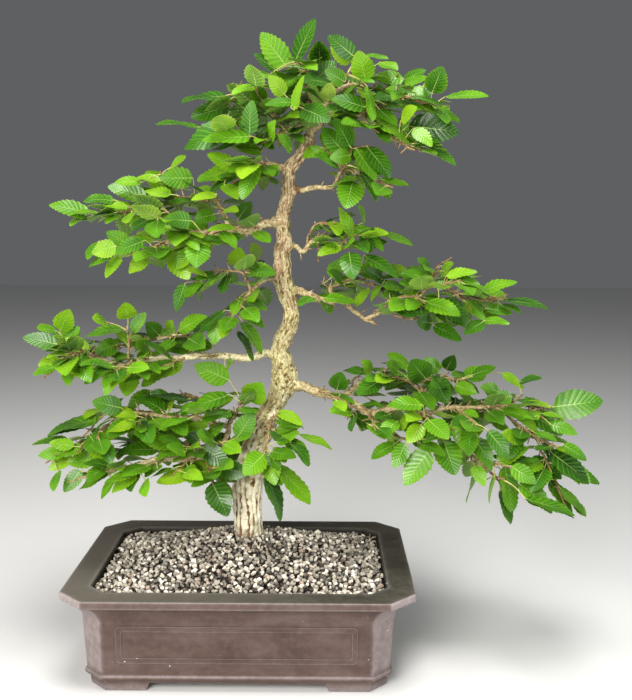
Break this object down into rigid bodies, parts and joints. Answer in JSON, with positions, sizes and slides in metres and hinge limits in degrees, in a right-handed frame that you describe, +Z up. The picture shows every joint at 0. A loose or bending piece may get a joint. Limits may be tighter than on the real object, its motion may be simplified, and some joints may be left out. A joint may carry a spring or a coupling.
{
  "type": "fastigiata european hornbeam bonsai",
  "caption": "Upright hornbeam bonsai with tiers of leafy branches in a rectangular clay pot with cut corners, filled with gravel.",
  "frame": {"origin": "middle of the base rectangle of tree and pot together, on the surface that the feet stand on; the pot's middle lies 0.078 m to the left of it", "axes": "+Z up, +X to the right along the pot's long side, +Y from the front of the tree to its back"},
  "size_m": [0.6178, 0.2668, 0.6736],
  "materials": {
    "clay": "unglazed, matte, purplish brown",
    "screen_plastic": "black, matte",
    "gravel": "rough cream and grey grit",
    "bark": "rough fluted bark",
    "foliage": "green leaves on thin tan twigs"
  },
  "bodies": {
    "root": {"pot": "clay", "drain_screen_left": "screen_plastic", "drain_screen_right": "screen_plastic", "gravel": "gravel", "trunk": "bark", "branch_front_low": "foliage", "branch_left_small": "foliage", "branch_left_top": "foliage", "branch_right_top": "foliage", "branch_right_upper": "foliage", "branch_left_low": "foliage", "branch_left_long": "foliage", "branch_left_upper": "foliage", "branch_right_middle": "foliage", "branch_right_low": "foliage", "branch_crown": "foliage", "branch_back_low": "foliage"}
  },
  "joints": []
}
